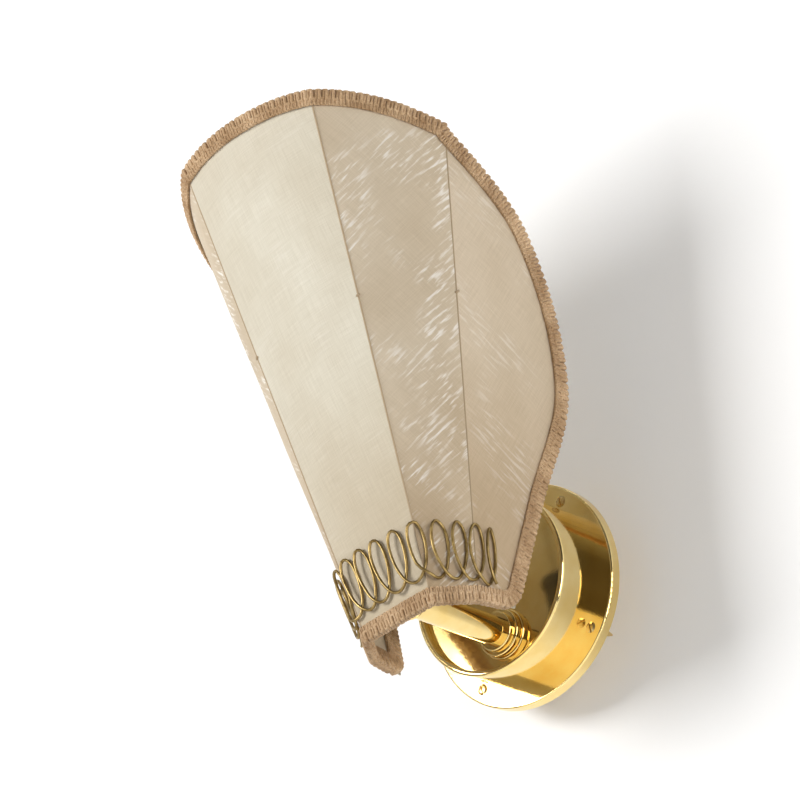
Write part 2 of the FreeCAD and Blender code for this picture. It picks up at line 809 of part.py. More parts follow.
def fitter_strap():
    """Flat strap across the shade to its side ribs, with a ring round the lampholder's nipple."""
    base = holder_origin() + UP * strap_bottom()
    rib = rib_line(1, base.z + STRAP_SHEET / 2, rib_inset())
    half = rib.x - WIRE_R - SEAT
    ring = rod(STRAP_RING_R, STRAP_SHEET, base, UP)
    bar = Part.makeBox(2 * half, STRAP_WIDTH, STRAP_SHEET, V(-half, HOLDER_Y - STRAP_WIDTH / 2, base.z))
    strap = ring.fuse(bar)
    for side in (-1, 1):
        reach = abs(rib.y - HOLDER_Y) + WIRE_R
        tab = Part.makeBox(STRAP_TAB, reach, STRAP_SHEET)
        tab.translate(V(side * (half - STRAP_TAB / 2) - STRAP_TAB / 2, HOLDER_Y - reach, base.z))
        strap = strap.fuse(tab)
    hole = rod(NIPPLE_R + SLIP, STRAP_SHEET, base, UP)
    return strap.cut(hole).removeSplitter()


# ---------------------------------------------------------------- band of wire loops

def band_path():
    """Plan line that the loops' middle follows, as corners with rounded turns."""
    gap = LOOP_CLEAR + LOOP_WIRE_R + LOOP_SWAY
    ahead = bulges(LOOP_MID_FRONT + LOOP_HALF_HEIGHT)[0]
    level = (LOOP_MID_FRONT + LOOP_MID_SIDE) / 2
    front, side, rear = offset_section(level, -gap)
    front = (front[0], front[1] + ahead)
    side = (side[0] + ahead / 2, side[1])
    share = (side[1] - LOOP_END + HOLDER_Y) / (side[1] - rear[1])
    end = (side[0] + (rear[0] - side[0]) * share, LOOP_END - HOLDER_Y)
    corners = [V(x, -y, 0) for x, y in (front, side, end)]
    return bent(mirrored(corners)[::-1] + corners, LOOP_BEND)


def loop_point(path, length, turn):
    """Point of the loops' wire after so many radians; the loops lean out with the cloth."""
    advance = (length - 2 * LOOP_HALF_WIDTH) / LOOP_COUNT
    along = LOOP_HALF_WIDTH + advance * turn / (2 * math.pi) + LOOP_HALF_WIDTH * math.cos(turn)
    along = min(max(along, 0.0), length)
    legs = math.cos(turn)
    sway = -LOOP_SWAY * legs / math.sqrt(legs * legs + 0.15) * math.sqrt(1.15)
    spot, tangent = on_path(path, along)
    outward = V(tangent.y, -tangent.x, 0)
    share = abs(2 * along / length - 1)
    middle = LOOP_MID_FRONT + (LOOP_MID_SIDE - LOOP_MID_FRONT) * share ** 2
    height = middle + LOOP_HALF_HEIGHT * math.sin(turn)
    lean = lean_at(spot, height)
    return spot + outward * (sway + lean) + UP * height


def lean_at(spot, height):
    """How far the cloth at this height stands out of its section at the band's level."""
    level = (LOOP_MID_FRONT + LOOP_MID_SIDE) / 2
    low = section(level)
    high = section(height)
    if abs(spot.x) < low[0][0]:
        return high[0][1] - low[0][1]
    across = math.atan2(low[0][1] - low[1][1], low[1][0] - low[0][0])
    if -spot.y > low[1][1]:
        return (high[0][0] - low[0][0]) * math.sin(across) + (high[0][1] - low[0][1]) * math.cos(across)
    return high[1][0] - low[1][0]


def on_path(path, along):
    """Point and direction at a distance along a wire."""
    left = along
    for edge in path.Edges:
        if left <= edge.Length or edge.isSame(path.Edges[-1]):
            parameter = edge.getParameterByLength(min(left, edge.Length))
            return edge.valueAt(parameter), edge.tangentAt(parameter)
        left -= edge.Length
    return None


def biarc(p0, t0, p1, t1):
    """Two arcs that join two points with their directions, in space."""
    chord = p1 - p0
    total = t0 + t1
    a = 2 * (1 - t0.dot(t1))
    b = 2 * chord.dot(total)
    c = -chord.dot(chord)
    if abs(a) < 1e-9:
        d = -c / b
    else:
        d = (-b + math.sqrt(b * b - 4 * a * c)) / (2 * a)
    q0 = p0 + t0 * d
    q1 = p1 - t1 * d
    joint = (q0 + q1) * 0.5
    return [arc_through(p0, t0, joint), arc_through(joint, (q1 - q0).normalize(), p1)]


def arc_through(start, direction, end):
    """Arc from start in a direction to end, or a line where that is straight."""
    chord = end - start
    normal = direction.cross(chord)
    if normal.Length < 1e-7 * chord.Length:
        return Part.LineSegment(start, end).toShape()
    normal.normalize()
    inward = normal.cross(direction)
    radius = chord.dot(chord) / (2 * chord.dot(inward))
    centre = start + inward * radius
    middle = centre + ((start + end) * 0.5 - centre).normalize() * abs(radius)
    return Part.Arc(start, middle, end).toShape()


def loop_edges():
    path = band_path()
    length = sum(edge.Length for edge in path.Edges)
    first = -math.pi / 2
    count = 8 * LOOP_COUNT - 4
    step = math.pi / 4
    small = 0.01
    knots = []
    for i in range(count + 1):
        turn = first + step * i
        point = loop_point(path, length, turn)
        ahead = loop_point(path, length, turn + small) - loop_point(path, length, turn - small)
        knots.append((point, ahead.normalize()))
    edges = []
    for (p0, t0), (p1, t1) in zip(knots, knots[1:]):
        edges += biarc(p0, t0, p1, t1)
    return edges


def self_gap(edges):
    """Least gap of the wire to itself, measured on points more than a few diameters apart."""
    points = []
    travelled = []
    total = 0.0
    for edge in edges:
        count = 6
        for i in range(count):
            share = edge.FirstParameter + (edge.LastParameter - edge.FirstParameter) * i / count
            points.append(edge.valueAt(share))
            travelled.append(total + edge.Length * i / count)
        total += edge.Length
    least = 1e9
    for i, p in enumerate(points):
        for j in range(i + 1, len(points)):
            if travelled[j] - travelled[i] < 12 * LOOP_WIRE_R:
                continue
            if travelled[j] - travelled[i] > 160:
                break
            least = min(least, (points[j] - p).Length)
    return least - 2 * LOOP_WIRE_R


def wire_loop_band():
    edges = loop_edges()
    print("wire loops: least self-gap %.2f mm" % self_gap(edges))
    return sweep_round(Part.Wire(edges), LOOP_WIRE_R)


# ---------------------------------------------------------------- the parts

def main():
    os.makedirs("parts", exist_ok=True)
    save("wall_plate", wall_plate())
    save("fixing_screws", *fixing_screws())
    save("drum", drum())
    save("drum_screws", *drum_screws())
    save("dish_plate", dish_plate())
    save("arm_collar", arm_collar())
    save("arm_tube", arm_tube())
    save("arm_washer", arm_washer())
    save("arm_nut", arm_nut())
    save("arm_end_cap", arm_end_cap())
    save("terminal_block", terminal_block())
    save("terminal_screws", *terminal_screws())
    save("holder_foot", holder_foot())
    save("holder_nipple", holder_nipple())
    save("nipple_nut", nipple_nut())
    save("ring_nut", ring_nut())
    save("lampholder_cup", lampholder_cup())
    save("lampholder_body", lampholder_body())
    save("socket_shell", socket_shell())
    save("centre_contact", centre_contact())
    save("shade_fabric", shade_fabric())
    save("edge_braid", edge_braid())
    save("bottom_braid", bottom_braid())
    save("rib_wires", *rib_wires())
    save("edge_wire", edge_wire())
    save("bottom_wire", bottom_wire())
    save("fitter_strap", fitter_strap())
    save("wire_loop_band", wire_loop_band())


main()
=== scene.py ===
import json
import math
import random

import bpy
from mathutils import Matrix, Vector
from mathutils import Vector as V


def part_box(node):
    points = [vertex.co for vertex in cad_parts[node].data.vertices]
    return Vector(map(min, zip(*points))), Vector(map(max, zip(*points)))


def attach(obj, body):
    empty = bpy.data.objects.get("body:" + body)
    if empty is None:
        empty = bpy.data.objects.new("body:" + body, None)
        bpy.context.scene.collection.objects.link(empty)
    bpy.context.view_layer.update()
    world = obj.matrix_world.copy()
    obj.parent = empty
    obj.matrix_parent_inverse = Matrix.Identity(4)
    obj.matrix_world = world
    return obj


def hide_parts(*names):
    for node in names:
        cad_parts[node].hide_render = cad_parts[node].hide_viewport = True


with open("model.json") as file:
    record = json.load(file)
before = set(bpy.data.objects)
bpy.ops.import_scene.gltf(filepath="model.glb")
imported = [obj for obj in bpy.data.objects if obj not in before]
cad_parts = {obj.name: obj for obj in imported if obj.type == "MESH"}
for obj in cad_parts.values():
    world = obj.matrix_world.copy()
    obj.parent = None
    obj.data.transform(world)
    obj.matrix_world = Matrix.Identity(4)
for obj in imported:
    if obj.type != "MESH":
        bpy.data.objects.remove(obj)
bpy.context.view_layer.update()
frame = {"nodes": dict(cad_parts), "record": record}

random.seed(7)

# ---------------------------------------------------------------- sizes, in metres

# The shade follows its CAD solids. A rib is given by its half width and by how far in front of
# the lampholder's axis it stands, at the lower edge and at RIB_HIGH.
LOW = -0.049
RIB_HIGH = 0.235
FRONT_RIB = ((0.0246, 0.0290), (0.0466, 0.0670))
SIDE_RIB = ((0.0394, 0.0060), (0.0884, 0.0040))
PAST_EDGE = ((0.0510, -0.0700), (0.1000, -0.1000))  # end of the last panel before it is cut
BULGES = ((0.0003, 0.0075), (0.0003, 0.0056), (0.0002, 0.0044))  # each panel's, low and high
CROWN_TOP = 0.264
CROWN_HALF = 0.102
CROWN_RISE = 0.090
CROWN_FULL = 0.78      # how full the crown's curve is at its top and its shoulders
UNDER_CROWN = 0.15     # a height that is below the crown at every place
SIDE_EDGE = ((-0.0210, LOW), (-0.0450, 0.0160), (-0.0730, 0.0920), (-0.0485, 0.1800),
             (0.0100, 0.2400))
CORNER = 0.009         # rounding of the cloth's two lower corners
CORNER_STEPS = 12
EDGE_STEP = 0.002      # between the spots that outline the side edge
CROWN_STEPS = 90
HALVINGS = 28          # in a search for a place or a height

CLOTH = 0.0005         # thickness of the cloth
LINING_IN = 0.0007     # from the cloth's face to the lining's
LINING_THINNER = 0.5   # the lining's thickness as a share of the cloth's
CLOTH_ROWS = 90
FRONT_COLUMNS = 44
SIDE_COLUMNS = 26
PANEL_KINDS = (0, 1, 2, 1, 2)    # of the five panels: front, next to it, side
PANEL_SHIFT = 0.37     # between the panels' patterns, so that no two are alike
WRINKLE = 0.00035
WAVES = ((61, 2.1, 0.35), (23, -3.7, 0.5))  # a wrinkle's turn by height, by place, and weight

SEAM_R = 0.0006        # of the seam over each rib
SEAM_IN = 0.0003
SEAM_ENDS = (0.006, 0.004)       # from the lower edge, and from the crown
SEAM_STEPS = 60
KNOT_HEIGHT = 0.135    # of the stitches that tie the cloth to its ribs
KNOT_HALF = (0.014, 0.0008)      # half a stitch: across the rib, as a place, and up it
KNOT_OUT = 0.0002
KNOT_R = 0.0009

BRAID_STEP = 0.002
BRAID_LEAST = 60       # fewest steps along a braid
BOTTOM_HALF = 60       # spots that outline half the lower edge
BRAID_WIDTH = 0.0082
BRAID_INSIDE = 0.0110  # its width on the lining
TAPE_R = 0.0011        # half thickness of the tape under the threads
TAPE_THIN = 0.7        # the tape's thickness at its rims, as a share
TAPE_GAP = 0.0001      # between the tape and the faces it lies on
BAR_START = 0.0036     # where the crosswise threads begin, from the edge
BAR_PITCH = 0.0022     # between the braid's crosswise threads
BAR_R = 0.00062
PUFF_REACH = (-0.0008, 0.0046)   # where the thick loops begin and end, from the edge
PUFF_PITCH = 0.0040    # between the thick loops along its outer half
PUFF_R = 0.00105
BAR_STEPS = 10         # points in one turn of a thread
BAR_SQUARE = (0.12, 1.058)       # for flattened(): the threads turn back sharply
BAR_SKEW = 0.10
BAR_RISE = (0.3, 0.4)  # a thread's mean height over the tape and its swing, in radii
BAR_REACH = (0.5, 0.47)          # middle and half of a thread's reach
BAR_UNEVEN = (0.95, 0.10, 0.2)   # least reach, its spread, and the spread of the pitch
RIM_PITCH = 0.0036     # one turn of the two strands along the rim
RIM_R = 0.00085
RIM_STEPS = 9
RIM_OUT = 0.0002       # how far past the edge the rim is centred
RIM_HALF = (1.25, 0.0004)        # its half width in radii, and what it adds to the tape's
RIM_SWELL = (0.16, 0.37)         # how much its strands swell, and how often

LOOP_WIRE_R = 0.0009
LOOP_SIDES = 8
LOOP_COUNT = 14
LOOP_HALF = (0.0066, 0.0172)     # half width and half height of a loop
LOOP_MIDDLE = (-0.0180, -0.0252)  # height of the loops' middle in front, and at the ends
LOOP_SWAY = 0.0013     # how far a loop's two legs lie out and in of its middle
LOOP_SQUARE = (0.2, 1.095)       # for flattened(): the legs keep apart where they cross
LOOP_OUT = 0.0016      # from the cloth to the middle of the wire, past its radius
LOOP_END = 2.27        # place of the band's two ends
LOOP_STEPS = 28
LOOP_WIDER = (0.30, 8.0, 2.2)    # extra room for some loops: how much, round which, how many
LOOP_UNEVEN = 0.16     # spread of the room that a loop has
LOOP_WIDTHS = (0.92, 0.2)        # least width and its spread
LOOP_HEIGHTS = (0.97, 0.05)      # least height and its spread
LOOP_LIFT = (0.002, 0.35)        # near the lower braid: from how far over it, and how steeply
BAND_SPOTS = 400
BAND_HALF = 100

# The camera that took the photograph, fitted to its circles
AZIMUTH = math.radians(35.17)
ELEVATION = math.radians(-28.53)
ROLL = math.radians(-12.81)
DISTANCE = 4.0
PICTURE = 800
PIXELS_PER_METRE = 1753.3
ORIGIN_IN_PICTURE = (529.2, 598.5)
SENSOR = 36.0
CLIP_END = 50

WALL_Y = 0.030         # the backdrop, behind the tips of the wall screws
FLOOR_Z = -2.6
REACH = 4.0            # half the backdrop's width, and its height
LAMP_DISTANCE = 2.6

axis_low, axis_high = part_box("ring_nut")
AXIS_Y = (axis_low[1] + axis_high[1]) / 2
SHADE_MIDDLE = V((0, AXIS_Y - 0.02, 0.11))
LAMPS_AIM = V((0, AXIS_Y, 0.1))


# ---------------------------------------------------------------- the shade's surface

def corner(rib, height):
    """Half width of a rib and its distance in front of the axis, at a height."""
    share = (height - LOW) / (RIB_HIGH - LOW)
    (x0, a0), (x1, a1) = rib
    return x0 + (x1 - x0) * share, a0 + (a1 - a0) * share


def bulge(panel, height):
    share = (height - LOW) / (RIB_HIGH - LOW)
    low, high = BULGES[panel]
    return low + (high - low) * share


def face(place, height, inset=0.0):
    """Point of the shade. place is 0 in the middle, 1 at the front rib, 2 at the side rib."""
    side = -1 if place < 0 else 1
    across = abs(place)
    front = corner(FRONT_RIB, height)
    if across <= 1:
        x = front[0] * across
        ahead = front[1] + bulge(0, height) * (1 - across * across)
        normal = (0.0, 1.0)
    else:
        panel = 1 if across <= 2 else 2
        part = across - panel
        start = front if panel == 1 else corner(SIDE_RIB, height)
        end = corner(SIDE_RIB if panel == 1 else PAST_EDGE, height)
        dx, da = end[0] - start[0], end[1] - start[1]
        size = math.hypot(dx, da)
        normal = (-da / size, dx / size)
        out = 4 * bulge(panel, height) * part * (1 - part)
        x = start[0] + dx * part + normal[0] * out
        ahead = start[1] + da * part + normal[1] * out
    x -= normal[0] * inset
    ahead -= normal[1] * inset
    return V((side * x, AXIS_Y - ahead, height))


def face_normal(place, height):
    """The surface's outward direction, from points a little way round it."""
    sideways, upward = 0.004, 0.0015
    along = face(place + sideways, height) - face(place - sideways, height)
    up = face(place, height + upward) - face(place, height - upward)
    normal = along.cross(up).normalized()
    return normal if normal.dot(V((place, -1.0 - abs(place), 0))) > 0 else -normal


def bisect(test, low, high):
    """Where test turns from true to false between low and high."""
    for _ in range(HALVINGS):
        middle = (low + high) / 2
        if test(middle):
            low = middle
        else:
            high = middle
    return (low + high) / 2


def crown_height(half):
    """Height of the crown at a half width, on a curve with four control points."""
    half = min(abs(half), CROWN_HALF)

    def curve(t, p1, p2, p3):
        return 3 * (1 - t) ** 2 * t * p1 + 3 * (1 - t) * t * t * p2 + t ** 3 * p3

    t = bisect(lambda t: CROWN_HALF * curve(t, CROWN_FULL, 1, 1) < half, 0.0, 1.0)
    return CROWN_TOP - CROWN_RISE * (1 - (1 - t) ** 3 - curve(t, 1, CROWN_FULL, 0))


def side_edge_ahead(height):
    """How far the side edge is in front of the lampholder's axis, by a smooth curve."""
    points = SIDE_EDGE
    if height >= points[-1][1]:
        return points[-1][0]
    for i in range(len(points) - 1):
        if height <= points[i + 1][1]:
            break
    p1, p2 = points[i], points[i + 1]
    p0 = points[i - 1] if i else (2 * p1[0] - p2[0], 2 * p1[1] - p2[1])
    p3 = points[i + 2] if i + 2 < len(points) else (2 * p2[0] - p1[0], 2 * p2[1] - p1[1])
    size = p2[1] - p1[1]
    t = max(0.0, (height - p1[1]) / size)
    m1 = (p2[0] - p0[0]) / (p2[1] - p0[1]) * size
    m2 = (p3[0] - p1[0]) / (p3[1] - p1[1]) * size
    t2, t3 = t * t, t * t * t
    return ((2 * t3 - 3 * t2 + 1) * p1[0] + (t3 - 2 * t2 + t) * m1
            + (3 * t2 - 2 * t3) * p2[0] + (t3 - t2) * m2)


def edge_place(height):
    """Place of the side edge at a height, round at the lower corner."""
    up = min(height - LOW, CORNER)
    rounding = CORNER - math.sqrt(max(CORNER ** 2 - (CORNER - up) ** 2, 0.0))
    wanted = AXIS_Y - side_edge_ahead(height) - rounding
    return bisect(lambda place: face(place, height).y < wanted, 2.0, 3.0)


def top_height(place):
    """Height at which a line up the shade meets the crown."""
    return bisect(lambda z: z < crown_height(face(place, z).x), UNDER_CROWN, CROWN_TOP + 0.001)


def outline():
    """Places and heights along the right half: up the side edge, then along the crown."""
    meet = bisect(lambda z: z < crown_height(face(edge_place(z), z).x), UNDER_CROWN, CROWN_TOP)
    count = int((meet - LOW) / EDGE_STEP)
    rows = [LOW + CORNER * (i / CORNER_STEPS) ** 2 for i in range(CORNER_STEPS)]
    rows += [LOW + CORNER + (meet - LOW - CORNER) * i / count for i in range(count + 1)]
    line = [(edge_place(z), z) for z in rows]
    last = line[-1][0]
    for i in range(1, CROWN_STEPS + 1):
        place = last * (1 - i / CROWN_STEPS)
        line.append((place, top_height(place)))
    return line


def lengths_along(line):
    """How far each spot of a line is from the first."""
    points = [face(*spot) for spot in line]
    lengths = [0.0]
    for a, b in zip(points, points[1:]):
        lengths.append(lengths[-1] + (b - a).length)
    return lengths


def resampled(line, count):
    """The same line with its spots evenly spaced."""
    lengths = lengths_along(line)
    result = []
    j = 0
    for i in range(count + 1):
        wanted = lengths[-1] * i / count
        while j < len(lengths) - 2 and lengths[j + 1] < wanted:
            j += 1
        part = (wanted - lengths[j]) / max(lengths[j + 1] - lengths[j], 1e-9)
        a, b = line[j], line[j + 1]
        result.append((a[0] + (b[0] - a[0]) * part, a[1] + (b[1] - a[1]) * part))
    return result


# ---------------------------------------------------------------- meshes

def add_mesh(name, verts, faces, material, smooth=True):
    mesh = bpy.data.meshes.new(name)
    mesh.from_pydata([tuple(v) for v in verts], [], faces)
    mesh.validate()
    mesh.update()
    if smooth:
        mesh.polygons.foreach_set("use_smooth", [True] * len(mesh.polygons))
    mesh.materials.append(material)
    piece = bpy.data.objects.new(name, mesh)
    bpy.context.collection.objects.link(piece)
    return piece


def join_rings(faces, base, rings, sides):
    """Adds the faces between rings of points that follow one another."""
    for i in range(rings - 1):
        for k in range(sides):
            a = base + i * sides + k
            b = base + i * sides + (k + 1) % sides
            faces.append((a, b, b + sides, a + sides))


def tube(verts, faces, points, radius, sides=6):
    """Adds a tube round a line of points to the lists."""
    normal = None
    base = len(verts)
    count = len(points)
    for i, p in enumerate(points):
        tangent = (points[min(i + 1, count - 1)] - points[max(i - 1, 0)]).normalized()
        if normal is None:
            normal = tangent.orthogonal().normalized()
        normal = (normal - tangent * normal.dot(tangent)).normalized()
        other = tangent.cross(normal)
        for k in range(sides):
            angle = 2 * math.pi * k / sides
            verts.append(p + (normal * math.cos(angle) + other * math.sin(angle)) * radius)
    join_rings(faces, base, count, sides)
    faces.append(tuple(base + k for k in range(sides))[::-1])
    faces.append(tuple(base + (count - 1) * sides + k for k in range(sides)))


def cloth_panels():
    """Five panels as grids of (place, height), which meet at the ribs."""
    rows = CLOTH_ROWS
    panels = []
    for low, high, columns in ((-1.0, 1.0, FRONT_COLUMNS), (1.0, 2.0, SIDE_COLUMNS)):
        grid = []
        for i in range(columns + 1):
            place = low + (high - low) * i / columns
            top = top_height(place)
            grid.append([(place, LOW + (top - LOW) * j / rows) for j in range(rows + 1)])
        panels.append(grid)
    rib_top = top_height(2.0)
    rim = [spot for spot in outline() if spot[0] >= 2.0] + [(2.0, rib_top)]
    rim = resampled(rim, rows)
    grid = []
    for i in range(SIDE_COLUMNS + 1):
        part = i / SIDE_COLUMNS
        column = []
        for j, edge in enumerate(rim):
            rib = (2.0, LOW + (rib_top - LOW) * j / rows)
            column.append((rib[0] + (edge[0] - rib[0]) * part, rib[1] + (edge[1] - rib[1]) * part))
        grid.append(column)
    panels.append(grid)
    for grid in panels[1:3]:
        panels.append([[(-place, z) for place, z in column] for column in grid[::-1]])
    return panels


def wrinkle(place, height, kind):
    """Small waves of stretched cloth, which die out at the ribs."""
    across = abs(place)
    part = across - int(across) if kind else (place + 1) / 2
    ease = math.sin(math.pi * min(max(part, 0.0), 1.0))
    wave = sum(math.sin(height * by_height + place * by_place) * weight
               for by_height, by_place, weight in WAVES)
    return WRINKLE * ease * wave


def pattern_spot(number, kind, place, height):
    """UV in metres: across the panel from its rib or its middle, and up it."""
    origin = face(0.0 if kind == 0 else math.copysign(kind, place), height)
    across = (face(place, height) - origin).length
    if kind == 0 and place < 0:
        across = -across
    return across + number * PANEL_SHIFT, height


def cloth(name, inset, thickness, materials):
    """The five panels as one sheet, with a material for each kind of panel or one for all."""
    verts, faces, uvs, kinds = [], [], [], []
    index = {}
    for number, grid in enumerate(cloth_panels()):
        kind = PANEL_KINDS[number]
        ids = []
        for column in grid:
            line = []
            for place, height in column:
                spot = face(place, height, inset)
                spot += face_normal(place, height) * wrinkle(place, height, kind)
                key = tuple(round(c, 6) for c in spot)
                if key not in index:
                    index[key] = len(verts)
                    verts.append(spot)
                line.append(index[key])
            ids.append(line)
        for i in range(len(ids) - 1):
            for j in range(len(ids[i]) - 1):
                ring = []
                for a, b in ((i, j), (i + 1, j), (i + 1, j + 1), (i, j + 1)):
                    if ids[a][b] not in [ids[c][d] for c, d in ring]:
                        ring.append((a, b))
                if len(ring) < 3:
                    continue
                faces.append([ids[a][b] for a, b in ring])
                kinds.append(kind)
                uvs += [pattern_spot(number, kind, *grid[a][b]) for a, b in ring]
    piece = add_mesh(name, verts, faces, materials[0])
    mesh = piece.data
    for material in materials[1:]:
        mesh.materials.append(material)
    for polygon, kind in zip(mesh.polygons, kinds):
        polygon.material_index = kind if len(materials) > 1 else 0
    layer = mesh.uv_layers.new(name="cloth")
    for loop, uv in zip(layer.data, uvs):
        loop.uv = uv
    # the cloth folds where panels of two kinds meet
    meeting = {}
    for polygon in mesh.polygons:
        for key in polygon.edge_keys:
            meeting.setdefault(key, set()).add(kinds[polygon.index])
    for edge in mesh.edges:
        edge.use_edge_sharp = len(meeting.get(edge.key, ())) > 1
    thick = piece.modifiers.new("thickness", "SOLIDIFY")
    thick.thickness = thickness
    thick.offset = -1
    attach(piece, "shade")
    return piece, sum(polygon.area for polygon in mesh.polygons)


def trim_frames(line):
    """Along a line of spots: point, way into the cloth, and outward normal."""
    frames = []
    count = len(line)
    points = [face(*spot) for spot in line]
    for i, spot in enumerate(line):
        tangent = (points[min(i + 1, count - 1)] - points[max(i - 1, 0)]).normalized()
        normal = face_normal(*spot)
        normal = (normal - tangent * normal.dot(tangent)).normalized()
        into = normal.cross(tangent)
        if into.dot(SHADE_MIDDLE - points[i]) < 0:
            into = -into
        frames.append((points[i], into, normal))
    return frames


def trim_point(frames, length, along, into, out):
    """Point over the trim's line: along it, into the cloth and out of its face."""
    where = min(max(along / length, 0.0), 1.0) * (len(frames) - 1)
    i = min(int(where), len(frames) - 2)
    part = where - i
    p, way, normal = (a.lerp(b, part) for a, b in zip(frames[i], frames[i + 1]))
    return p + way.normalized() * into + normal.normalized() * out


def flattened(wave, soft, gain):
    """A wave with flatter peaks. They stay as round as soft says; gain brings them back to 1."""
    return wave / math.sqrt(wave * wave + soft) * gain


def tape(verts, faces, frames, inner):
    """Adds a flat band folded round the edge. inner is the lining's back, from the face."""
    section = [(BRAID_WIDTH, TAPE_GAP), (BRAID_WIDTH, TAPE_R * TAPE_THIN),
               (BRAID_WIDTH * 0.5, TAPE_R), (0.0, TAPE_R), (-TAPE_R, inner / 2),
               (0.0, inner - TAPE_R), (BRAID_INSIDE * 0.5, inner - TAPE_R),
               (BRAID_INSIDE, inner - TAPE_R * TAPE_THIN), (BRAID_INSIDE, inner - TAPE_GAP),
               (0.0, inner - TAPE_GAP), (0.0, TAPE_GAP)]
    sides = len(section)
    for p, way, normal in frames:
        verts += [p + way * into + normal * out for into, out in section]
    join_rings(faces, 0, len(frames), sides)
    for start in (0, (len(frames) - 1) * sides):
        faces.append(tuple(start + k for k in range(sides)))


def braid(name, line, node, material):
    """Gimp braid folded over an edge: tape, crosswise threads and a two-strand rim."""
    length = lengths_along(line)[-1]
    frames = trim_frames(resampled(line, max(BRAID_LEAST, int(length / BRAID_STEP))))
    inner = -CLOTH - LINING_IN
    verts, faces = [], []
    tape(verts, faces, frames, inner)
    # crosswise threads on both faces, and thicker loops over their outer half
    rows = ((TAPE_R, BAR_START, BRAID_WIDTH, BAR_PITCH, BAR_R),
            (inner - TAPE_R, BAR_START, BRAID_INSIDE, BAR_PITCH, BAR_R),
            (TAPE_R, *PUFF_REACH, PUFF_PITCH, PUFF_R),
            (inner - TAPE_R, *PUFF_REACH, PUFF_PITCH, PUFF_R))
    least, spread, pitch_spread = BAR_UNEVEN
    for face_out, low, high, pitch, radius in rows:
        points = []
        for bar in range(int(length / pitch)):
            reach = (high - low) * (least + spread * random.random())
            shift = pitch * pitch_spread * (random.random() - 0.5)
            for k in range(BAR_STEPS):
                t = 2 * math.pi * k / BAR_STEPS
                along = (bar + k / BAR_STEPS + BAR_SKEW * math.sin(2 * t)) * pitch + shift
                sweep = flattened(math.cos(t), *BAR_SQUARE)
                into = low + reach * (BAR_REACH[0] + BAR_REACH[1] * sweep)
                rise = radius * (BAR_RISE[0] + BAR_RISE[1] * math.sin(t))
                out = face_out + math.copysign(rise, face_out)
                points.append(trim_point(frames, length, along, into, out))
        tube(verts, faces, points, radius)
    # twisted rim
    steps = int(length / RIM_PITCH) * RIM_STEPS
    for strand in (0, math.pi):
        points = []
        for i in range(steps + 1):
            t = 2 * math.pi * i / RIM_STEPS + strand
            swell = 1 + RIM_SWELL[0] * math.sin(i * RIM_SWELL[1] + strand)
            into = -RIM_OUT + RIM_R * RIM_HALF[0] * math.cos(t) * swell
            out = inner / 2 + (TAPE_R + RIM_HALF[1]) * math.sin(t) * swell
            points.append(trim_point(frames, length, length * i / steps, into, out))
        tube(verts, faces, points, RIM_R)
    piece = add_mesh(name, verts, faces, material)
    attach(piece, "shade")
    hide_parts(node)
    return piece


def wire_loops(name, material):
    """Band of loops bent from one wire, a little uneven, which hugs the cloth."""
    middle = (LOOP_MIDDLE[0] + LOOP_MIDDLE[1]) / 2
    line = [(LOOP_END * (i / BAND_HALF - 1), middle) for i in range(2 * BAND_HALF + 1)]
    length = lengths_along(line)[-1]
    band = resampled(line, BAND_SPOTS)
    half_width, half_height = LOOP_HALF
    extra, widest, round_it = LOOP_WIDER
    starts = [half_width]
    for i in range(LOOP_COUNT):
        room = 1 + extra * math.exp(-((i - widest) / round_it) ** 2)
        starts.append(starts[-1] + room + LOOP_UNEVEN * (random.random() - 0.5))
    scale = (length - 2 * half_width) / (starts[-1] - half_width)
    starts = [half_width + (value - half_width) * scale for value in starts]
    points = []
    for start, end in zip(starts, starts[1:]):
        wide = half_width * (LOOP_WIDTHS[0] + LOOP_WIDTHS[1] * random.random())
        tall = half_height * (LOOP_HEIGHTS[0] + LOOP_HEIGHTS[1] * random.random())
        for k in range(LOOP_STEPS):
            t = 2 * math.pi * k / LOOP_STEPS - math.pi / 2
            centre = start + (end - start) * k / LOOP_STEPS
            along = min(max(centre + wide * math.cos(t), 0.0), length) / length
            place = band[round(along * BAND_SPOTS)][0]
            height = LOOP_MIDDLE[0] + (LOOP_MIDDLE[1] - LOOP_MIDDLE[0]) * (2 * along - 1) ** 2
            height += tall * math.sin(t)
            sway = LOOP_SWAY * flattened(math.cos(t), *LOOP_SQUARE)
            lift = max(0.0, LOW + BRAID_WIDTH + LOOP_LIFT[0] - height) * LOOP_LIFT[1]
            out = LOOP_WIRE_R + LOOP_OUT - sway + lift
            points.append(face(place, height) + face_normal(place, height) * out)
    eased = [(a + b * 2 + c) / 4 for a, b, c in zip(points, points[1:], points[2:])]
    verts, faces = [], []
    tube(verts, faces, eased, LOOP_WIRE_R, LOOP_SIDES)
    piece = add_mesh(name, verts, faces, material)
    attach(piece, "shade")
    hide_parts("wire_loop_band")


def rib_seams(name, material):
    """A seam over each rib, with the stitch that ties the cloth to it."""
    verts, faces = [], []
    for place in (-2, -1, 1, 2):
        low = LOW + SEAM_ENDS[0]
        high = top_height(place) - SEAM_ENDS[1]
        heights = [low + (high - low) * i / SEAM_STEPS for i in range(SEAM_STEPS + 1)]
        tube(verts, faces, [face(place, height, SEAM_IN) for height in heights], SEAM_R)
        across, rise = KNOT_HALF
        stitch = [face(place + turn * across, KNOT_HEIGHT + turn * rise, -KNOT_OUT)
                  for turn in (-1, 0, 1)]
        tube(verts, faces, stitch, KNOT_R)
    return add_mesh(name, verts, faces, material)


# ---------------------------------------------------------------- materials

WHITE = (1.0, 1.0, 1.0)
BLACK = (0.0, 0.0, 0.0)

